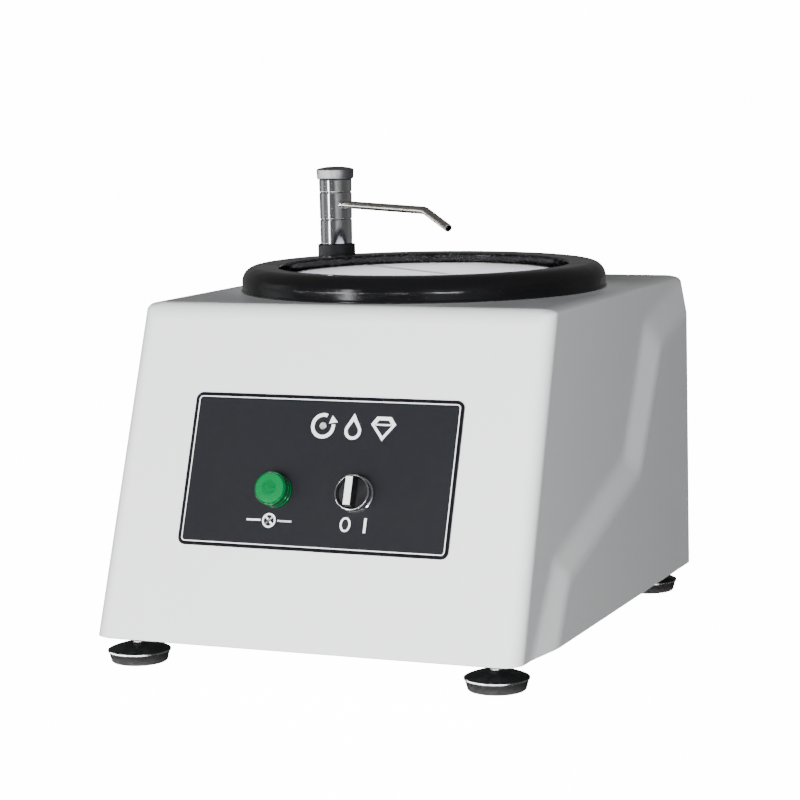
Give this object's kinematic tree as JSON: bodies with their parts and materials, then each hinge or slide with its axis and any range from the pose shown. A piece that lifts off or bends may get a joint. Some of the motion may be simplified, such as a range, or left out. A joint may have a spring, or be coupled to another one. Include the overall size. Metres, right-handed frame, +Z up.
{
  "type": "bench polishing machine",
  "caption": "Bench-top stone polishing machine: a motor-driven flat disc in a splash ring, with a swivelling water spout, a control panel and levelling feet.",
  "frame": {"origin": "on the bench, at the centre of the whole machine's footprint box", "axes": "+Z up, +X to the operator's right, +Y away from the operator"},
  "size_m": [0.3824, 0.4786, 0.391],
  "materials": {
    "white_gelcoat": "glossy white gelcoat on a fibreglass moulding",
    "gloss_black": "glossy black moulded resin",
    "matt_black": "matt black moulded plastic",
    "rubber": "black moulded rubber",
    "black_enamel": "black enamelled steel with a bright worn rim",
    "cloth": "white flocked polishing cloth",
    "aluminium": "turned aluminium",
    "stainless": "satin stainless steel",
    "chrome": "polished chrome plate",
    "satin_grey": "satin grey knurled metal",
    "steel": "plain machined steel",
    "brass": "machined brass",
    "panel_black": "fine-textured dark grey film on a metal plate",
    "green_lens": "glossy green lens",
    "green_collar": "deep green transparent collar",
    "white_mark": "white plastic",
    "motor_enamel": "blue-grey motor enamel",
    "copper": "enamelled copper windings round a laminated core",
    "hose": "grey flexible hose"
  },
  "bodies": {
    "housing": {"shell": "white_gelcoat", "bowl": "gloss_black", "drain_fitting": "matt_black", "faucet_pedestal": "matt_black", "drain_outlet": "matt_black", "cable_gland": "matt_black", "lamp_body": "matt_black", "lamp_nut": "matt_black", "selector_body": "matt_black", "selector_nut": "matt_black", "shaft_seal": "rubber", "start_capacitor": "aluminium", "faucet_body": "chrome", "faucet_bonnet": "chrome", "selector_bezel": "chrome", "base_plate": "steel", "motor_plate": "steel", "motor_post_1": "steel", "motor_post_2": "steel", "motor_post_3": "steel", "bearing_upper": "steel", "bearing_lower": "steel", "foot_front_left_locknut": "steel", "foot_front_right_locknut": "steel", "foot_rear_left_locknut": "steel", "foot_rear_right_locknut": "steel", "faucet_nut": "brass", "water_inlet": "brass", "panel_plate": "panel_black", "lamp_lens": "green_lens", "lamp_collar": "green_collar", "terminal_block": "white_mark", "motor_flange": "motor_enamel", "motor_housing": "motor_enamel", "motor_end_cap": "motor_enamel", "motor_stator": "copper", "drain_hose": "hose", "water_hose": "hose"},
    "spindle_body": {"spindle": "steel", "taper_hub": "brass", "motor_rotor": "steel"},
    "disc": {"platen": "aluminium", "polishing_cloth": "cloth", "clamp_ring": "stainless"},
    "ring": {"splash_ring": "gloss_black"},
    "spout_arm": {"swivel_collar": "chrome", "spout": "stainless"},
    "tap": {"cap_knob": "satin_grey", "valve_stem": "brass"},
    "selector": {"selector_handle": "matt_black", "selector_marker": "white_mark"},
    "pad_front_left": {"foot_front_left_pad": "rubber"},
    "stud_front_left": {"foot_front_left_stud": "black_enamel"},
    "pad_front_right": {"foot_front_right_pad": "rubber"},
    "stud_front_right": {"foot_front_right_stud": "black_enamel"},
    "pad_rear_left": {"foot_rear_left_pad": "rubber"},
    "stud_rear_left": {"foot_rear_left_stud": "black_enamel"},
    "pad_rear_right": {"foot_rear_right_pad": "rubber"},
    "stud_rear_right": {"foot_rear_right_stud": "black_enamel"}
  },
  "joints": [
    {"name": "spindle_spin", "type": "hinge", "parent": "housing", "child": "spindle_body", "pos_m": [0, 0.0396, 0.2895], "axis": [0, 0, 1], "continuous": true},
    {"name": "disc_lift", "type": "slide", "parent": "spindle_body", "child": "disc", "axis": [0, 0, 1], "range_m": [0, 0.03]},
    {"name": "ring_lift", "type": "slide", "parent": "housing", "child": "ring", "axis": [0, 0, 1], "range_m": [0, 0.035]},
    {"name": "spout_swing", "type": "hinge", "parent": "housing", "child": "spout_arm", "pos_m": [-0.137, 0.1607, 0.2895], "axis": [0, 0, 1], "continuous": true},
    {"name": "tap_turn", "type": "hinge", "parent": "housing", "child": "tap", "pos_m": [-0.137, 0.1607, 0.2895], "axis": [0, 0, 1], "range_deg": [0, 90]},
    {"name": "selector_turn", "type": "hinge", "parent": "housing", "child": "selector", "pos_m": [0.0354, -0.19506, 0.14411], "axis": [0, -0.9384, 0.3457], "range_deg": [-90, 0]},
    {"name": "foot_front_left_height", "type": "slide", "parent": "housing", "child": "pad_front_left", "axis": [0, 0, -1], "range_m": [-0.0045, 0.006]},
    {"name": "foot_front_left_turn", "type": "hinge", "parent": "pad_front_left", "child": "stud_front_left", "pos_m": [-0.157, -0.2108, 0], "axis": [0, 0, -1], "range_deg": [-1080, 1440]},
    {"name": "foot_front_right_height", "type": "slide", "parent": "housing", "child": "pad_front_right", "axis": [0, 0, -1], "range_m": [-0.0045, 0.006]},
    {"name": "foot_front_right_turn", "type": "hinge", "parent": "pad_front_right", "child": "stud_front_right", "pos_m": [0.157, -0.2108, 0], "axis": [0, 0, -1], "range_deg": [-1080, 1440]},
    {"name": "foot_rear_left_height", "type": "slide", "parent": "housing", "child": "pad_rear_left", "axis": [0, 0, -1], "range_m": [-0.0045, 0.006]},
    {"name": "foot_rear_left_turn", "type": "hinge", "parent": "pad_rear_left", "child": "stud_rear_left", "pos_m": [-0.157, 0.1907, 0], "axis": [0, 0, -1], "range_deg": [-1080, 1440]},
    {"name": "foot_rear_right_height", "type": "slide", "parent": "housing", "child": "pad_rear_right", "axis": [0, 0, -1], "range_m": [-0.0045, 0.006]},
    {"name": "foot_rear_right_turn", "type": "hinge", "parent": "pad_rear_right", "child": "stud_rear_right", "pos_m": [0.157, 0.1907, 0], "axis": [0, 0, -1], "range_deg": [-1080, 1440]}
  ],
  "couplings": [
    {"joint": "foot_front_left_height", "follows": "foot_front_left_turn", "m_per_rad": 0.00023873},
    {"joint": "foot_front_right_height", "follows": "foot_front_right_turn", "m_per_rad": 0.00023873},
    {"joint": "foot_rear_left_height", "follows": "foot_rear_left_turn", "m_per_rad": 0.00023873},
    {"joint": "foot_rear_right_height", "follows": "foot_rear_right_turn", "m_per_rad": 0.00023873}
  ]
}
